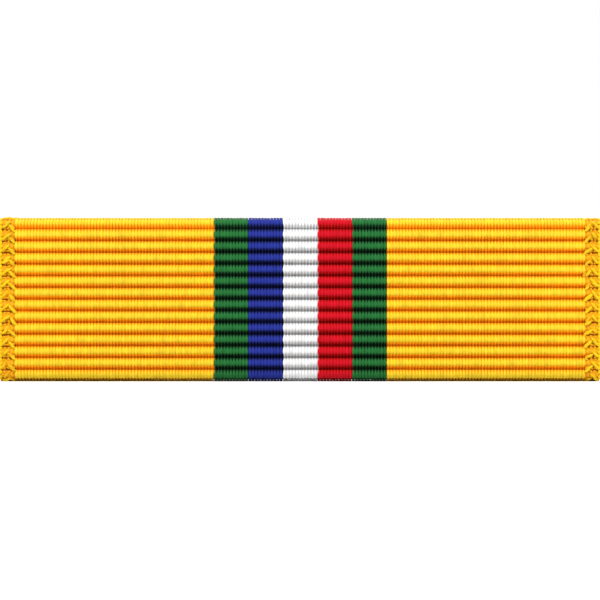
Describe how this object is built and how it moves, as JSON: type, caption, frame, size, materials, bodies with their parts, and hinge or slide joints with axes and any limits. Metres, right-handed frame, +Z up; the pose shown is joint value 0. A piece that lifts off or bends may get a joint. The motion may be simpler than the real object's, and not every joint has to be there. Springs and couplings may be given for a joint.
{
  "type": "service ribbon bar",
  "caption": "Ribbed, striped service ribbon folded over a brass channel that slides on a rail with pinned posts and squeeze-to-release butterfly clutches.",
  "frame": {"origin": "middle of the length and of the depth, on the surface that the ribbon's bottom edge stands on", "axes": "+X along the ribbon, to the right as seen from its face; the face looks towards -Y and the posts point to +Y; +Z is up"},
  "size_m": [0.035, 0.0088, 0.0095],
  "materials": {
    "gold_yarn": "satin",
    "green_yarn": "satin",
    "blue_yarn": "satin",
    "white_yarn": "satin",
    "red_yarn": "satin",
    "brass": "satin",
    "spring_steel": "satin"
  },
  "bodies": {
    "rail": {"mounting_rail": "brass", "post_left": "brass", "post_right": "brass"},
    "ribbon": {"ribbon_gold_left": "gold_yarn", "ribbon_green_left": "green_yarn", "ribbon_blue": "blue_yarn", "ribbon_white": "white_yarn", "ribbon_red": "red_yarn", "ribbon_green_right": "green_yarn", "ribbon_gold_right": "gold_yarn", "slider_channel": "brass"},
    "clutch_left": {"clutch_left_base": "brass", "clutch_left_cap": "brass", "clutch_left_spring": "spring_steel"},
    "clutch_left_wing_outer": {"clutch_left_wing_outer": "brass"},
    "clutch_left_wing_inner": {"clutch_left_wing_inner": "brass"},
    "clutch_right": {"clutch_right_base": "brass", "clutch_right_cap": "brass", "clutch_right_spring": "spring_steel"},
    "clutch_right_wing_outer": {"clutch_right_wing_outer": "brass"},
    "clutch_right_wing_inner": {"clutch_right_wing_inner": "brass"}
  },
  "joints": [
    {"name": "ribbon_slide", "type": "slide", "parent": "rail", "child": "ribbon", "axis": [1, 0, 0], "range_m": [-0.0345, 0.0345]},
    {"name": "clutch_left_pull", "type": "slide", "parent": "rail", "child": "clutch_left", "axis": [0, 1, 0], "range_m": [0, 0.0066]},
    {"name": "clutch_left_squeeze_outer", "type": "hinge", "parent": "clutch_left", "child": "clutch_left_wing_outer", "pos_m": [-0.01282, 0.00049, 0.00476], "axis": [0, 0, -1], "range_deg": [0, 9], "stiffness_Nm_per_rad": 0.05, "deforming": ["clutch_left_spring"]},
    {"name": "clutch_left_squeeze_inner", "type": "hinge", "parent": "clutch_left", "child": "clutch_left_wing_inner", "pos_m": [-0.00622, 0.00049, 0.00476], "axis": [0, 0, 1], "range_deg": [0, 9], "stiffness_Nm_per_rad": 0.05, "deforming": ["clutch_left_spring"]},
    {"name": "clutch_right_pull", "type": "slide", "parent": "rail", "child": "clutch_right", "axis": [0, 1, 0], "range_m": [0, 0.0066]},
    {"name": "clutch_right_squeeze_outer", "type": "hinge", "parent": "clutch_right", "child": "clutch_right_wing_outer", "pos_m": [0.01282, 0.00049, 0.00476], "axis": [0, 0, 1], "range_deg": [0, 9], "stiffness_Nm_per_rad": 0.05, "deforming": ["clutch_right_spring"]},
    {"name": "clutch_right_squeeze_inner", "type": "hinge", "parent": "clutch_right", "child": "clutch_right_wing_inner", "pos_m": [0.00622, 0.00049, 0.00476], "axis": [0, 0, -1], "range_deg": [0, 9], "stiffness_Nm_per_rad": 0.05, "deforming": ["clutch_right_spring"]}
  ]
}
